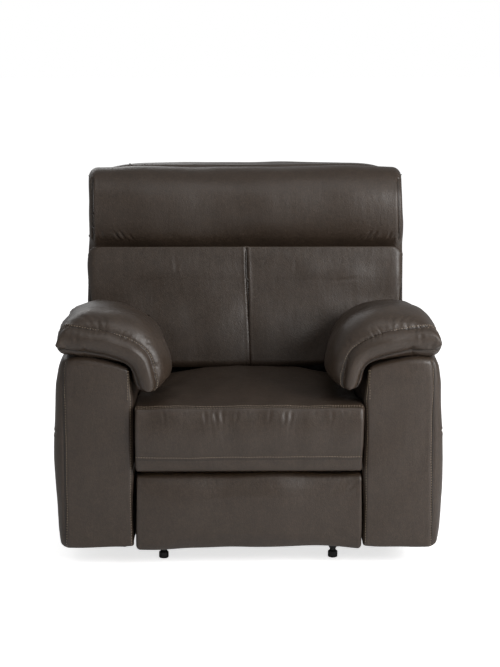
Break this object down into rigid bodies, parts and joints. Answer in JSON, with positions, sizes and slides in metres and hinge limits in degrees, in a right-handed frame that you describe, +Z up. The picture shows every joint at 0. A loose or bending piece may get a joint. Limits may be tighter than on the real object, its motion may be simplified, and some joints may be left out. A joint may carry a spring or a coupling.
{
  "type": "powered cinema recliner seat",
  "caption": "Wide leather cinema recliner with rolled arm pads, a split back cushion, a tilting head roll, a powered back and a powered fold-out footrest.",
  "frame": {"origin": "on the floor, under the middle of the outline", "axes": "+X to the right of someone who looks at the seat's front, -Y out of the front, +Z up"},
  "size_m": [1.0486, 0.9156, 1.03],
  "materials": {
    "leather": "dark grey-brown semi-aniline leather with a fine pebbled grain and a soft sheen",
    "frame_steel": "black powder coat",
    "bright_steel": "zinc plated",
    "timber": "unfinished birch plywood",
    "black_plastic": "fine moulded texture",
    "button_plastic": "smooth satin moulding"
  },
  "bodies": {
    "base": {"base_rail_right": "frame_steel", "base_rail_left": "frame_steel", "foot_front_right": "black_plastic", "foot_front_left": "black_plastic", "foot_rear_right": "black_plastic", "foot_rear_left": "black_plastic", "front_cross_tube": "frame_steel", "rear_cross_tube": "frame_steel", "control_box": "black_plastic", "power_inlet": "black_plastic", "side_plate_right": "frame_steel", "side_plate_left": "frame_steel", "arm_cover_right": "leather", "arm_cover_left": "leather", "arm_frame_right": "timber", "arm_frame_left": "timber", "arm_pad_right": "leather", "arm_pad_left": "leather", "seat_rail_front": "timber", "seat_rail_rear": "timber", "seat_rail_right": "timber", "seat_rail_left": "timber", "seat_spring_1": "bright_steel", "seat_spring_2": "bright_steel", "seat_spring_3": "bright_steel", "seat_spring_4": "bright_steel", "seat_cushion": "leather", "footrest_actuator": "black_plastic", "recline_actuator": "black_plastic", "switch_bezel": "black_plastic"},
    "drive": {"drive_tube": "frame_steel"},
    "first_links": {"link_a1_right": "frame_steel", "link_a1_left": "frame_steel"},
    "lifting_links": {"link_a2_right": "frame_steel", "link_a2_left": "frame_steel"},
    "crossing_links": {"link_b2_right": "frame_steel", "link_b2_left": "frame_steel"},
    "control_links": {"link_a3_right": "frame_steel", "link_a3_left": "frame_steel"},
    "footrest": {"footrest_board": "timber", "footrest_pad": "leather", "footrest_bracket_right": "frame_steel", "footrest_bracket_left": "frame_steel"},
    "footrest_push_rod": {"footrest_rod": "bright_steel"},
    "recline_push_rod": {"recline_rod": "bright_steel"},
    "back": {"back_frame": "timber", "back_bracket_right": "frame_steel", "back_bracket_left": "frame_steel", "recline_lever": "frame_steel", "back_cushion": "leather", "back_shell": "leather", "headrest_hinge_right": "frame_steel", "headrest_hinge_left": "frame_steel"},
    "headrest": {"head_cushion": "leather", "headrest_frame": "frame_steel"},
    "key_footrest_out": {"button_footrest_out": "button_plastic"},
    "key_footrest_in": {"button_footrest_in": "button_plastic"},
    "key_back_down": {"button_back_down": "button_plastic"},
    "key_back_up": {"button_back_up": "button_plastic"}
  },
  "joints": [
    {"name": "footrest_drive", "type": "hinge", "parent": "base", "child": "drive", "pos_m": [0, -0.32419, 0.221], "axis": [-1, 0, 0], "range_deg": [0, 88]},
    {"name": "first_link_pivot", "type": "hinge", "parent": "drive", "child": "first_links", "pos_m": [0, -0.33234, 0.14343], "axis": [-1, 0, 0], "range_deg": [-132, 0]},
    {"name": "lifting_link_pivot", "type": "hinge", "parent": "drive", "child": "lifting_links", "pos_m": [0, -0.34049, 0.06585], "axis": [-1, 0, 0], "range_deg": [-132, 0]},
    {"name": "crossing_link_pivot", "type": "hinge", "parent": "lifting_links", "child": "crossing_links", "pos_m": [0, -0.34865, 0.14343], "axis": [-1, 0, 0], "range_deg": [0, 132]},
    {"name": "control_link_pivot", "type": "hinge", "parent": "crossing_links", "child": "control_links", "pos_m": [0, -0.34865, 0.07343], "axis": [-1, 0, 0], "range_deg": [-132, 0]},
    {"name": "footrest_pivot", "type": "hinge", "parent": "lifting_links", "child": "footrest", "pos_m": [0, -0.3568, 0.221], "axis": [-1, 0, 0], "range_deg": [0, 132]},
    {"name": "footrest_rod_slide", "type": "slide", "parent": "base", "child": "footrest_push_rod", "axis": [0, -1, 0], "range_m": [0, 0.0966]},
    {"name": "back_recline", "type": "hinge", "parent": "base", "child": "back", "pos_m": [0, 0.18321, 0.3], "axis": [-1, 0, 0], "range_deg": [0, 40]},
    {"name": "recline_rod_slide", "type": "slide", "parent": "base", "child": "recline_push_rod", "axis": [0, -1, 0], "range_m": [0, 0.0656]},
    {"name": "headrest_tilt", "type": "hinge", "parent": "back", "child": "headrest", "pos_m": [0, 0.26706, 0.81432], "axis": [1, 0, 0], "range_deg": [0, 30]},
    {"name": "button_footrest_out_press", "type": "slide", "parent": "base", "child": "key_footrest_out", "axis": [1, 0, 0], "range_m": [0, 0.0015], "stiffness_N_per_m": 400},
    {"name": "button_footrest_in_press", "type": "slide", "parent": "base", "child": "key_footrest_in", "axis": [1, 0, 0], "range_m": [0, 0.0015], "stiffness_N_per_m": 400},
    {"name": "button_back_down_press", "type": "slide", "parent": "base", "child": "key_back_down", "axis": [1, 0, 0], "range_m": [0, 0.0015], "stiffness_N_per_m": 400},
    {"name": "button_back_up_press", "type": "slide", "parent": "base", "child": "key_back_up", "axis": [1, 0, 0], "range_m": [0, 0.0015], "stiffness_N_per_m": 400}
  ],
  "couplings": [
    {"joint": "first_link_pivot", "follows": "footrest_drive", "ratio": -1.5},
    {"joint": "lifting_link_pivot", "follows": "footrest_drive", "ratio": -1.5},
    {"joint": "crossing_link_pivot", "follows": "footrest_drive", "ratio": 1.5},
    {"joint": "control_link_pivot", "follows": "footrest_drive", "ratio": -1.5},
    {"joint": "footrest_pivot", "follows": "footrest_drive", "ratio": 1.5},
    {"joint": "footrest_rod_slide", "follows": "footrest_drive", "m_per_rad": 0.062874},
    {"joint": "recline_rod_slide", "follows": "back_recline", "m_per_rad": 0.093842}
  ]
}
